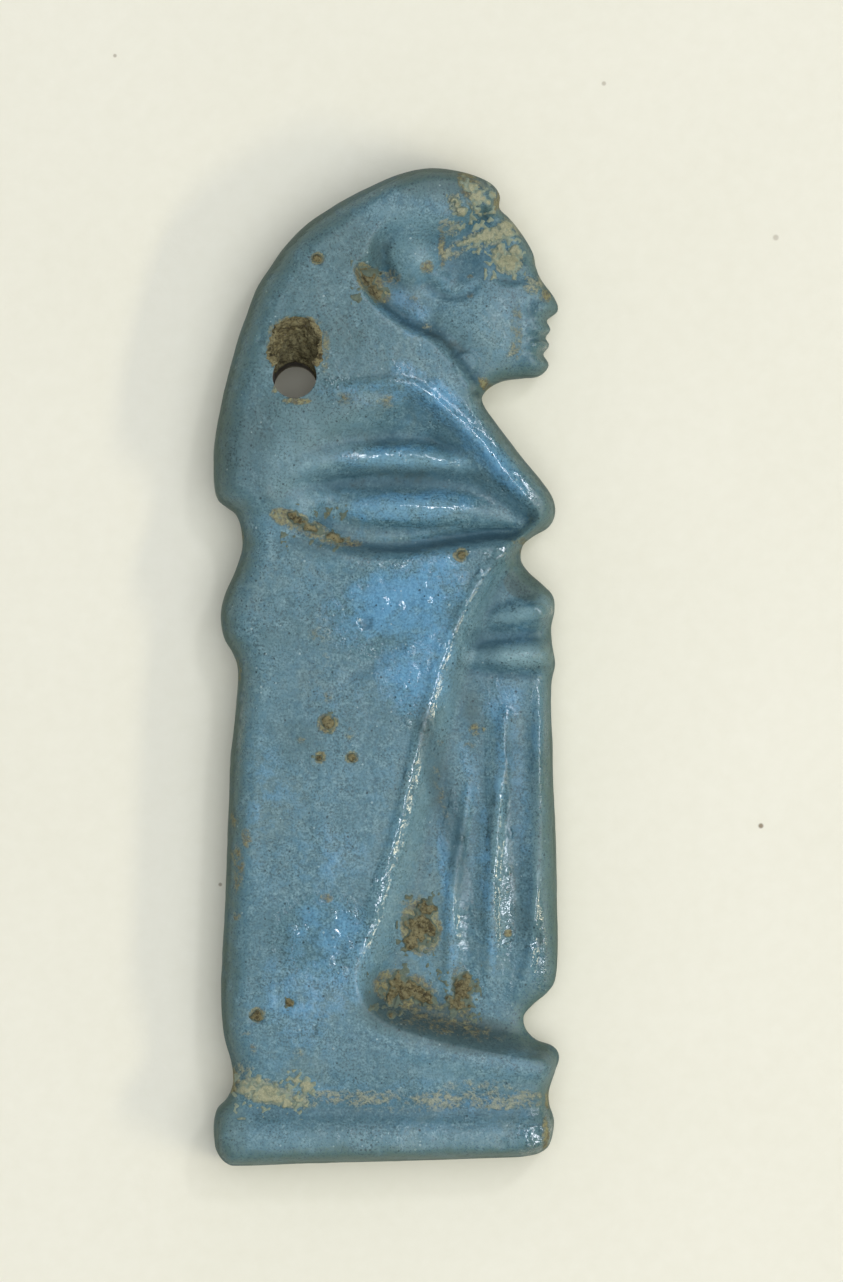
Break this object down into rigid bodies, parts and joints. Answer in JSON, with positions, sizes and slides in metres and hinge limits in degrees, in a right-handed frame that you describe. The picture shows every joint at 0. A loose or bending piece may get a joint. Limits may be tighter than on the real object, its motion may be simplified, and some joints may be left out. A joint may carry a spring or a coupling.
{
  "type": "figure amulet",
  "caption": "Flat-backed relief amulet of a wrapped standing figure on a plinth, glazed quartz paste over a pale core, with a suspension hole through the wig and earth left in its hollows.",
  "frame": {"origin": "centre of the flat back, at the middle of the part's width and height", "axes": "+Z out of the relief, away from the flat back; +Y towards the crown; +X towards the side that the figure faces"},
  "size_m": [0.0138, 0.04, 0.0046],
  "materials": {
    "faience_core": "matte",
    "glaze_coat": "satin",
    "earth": "matte",
    "lime": "matte"
  },
  "bodies": {
    "root": {"faience_core": "faience_core", "glaze_coat": "glaze_coat", "hole_earth": "earth", "pit_earth_wig": "earth", "pit_earth_chest": "earth", "pit_earth_side": "earth", "pit_earth_side_rear": "earth", "pit_earth_side_front": "earth", "pit_earth_foot": "earth", "pit_earth_foot_small": "earth", "sash_earth": "earth", "hem_earth_rear": "earth", "hem_earth_front": "earth", "ear_crease_earth": "earth", "neck_crumb": "earth", "brow_lime_crust": "lime", "wig_lime_crust": "lime", "wig_front_nodule": "lime", "wig_crown_crust": "lime", "collar_earth": "earth", "base_lime_crust": "lime", "base_lime_crumb": "lime"}
  },
  "joints": []
}
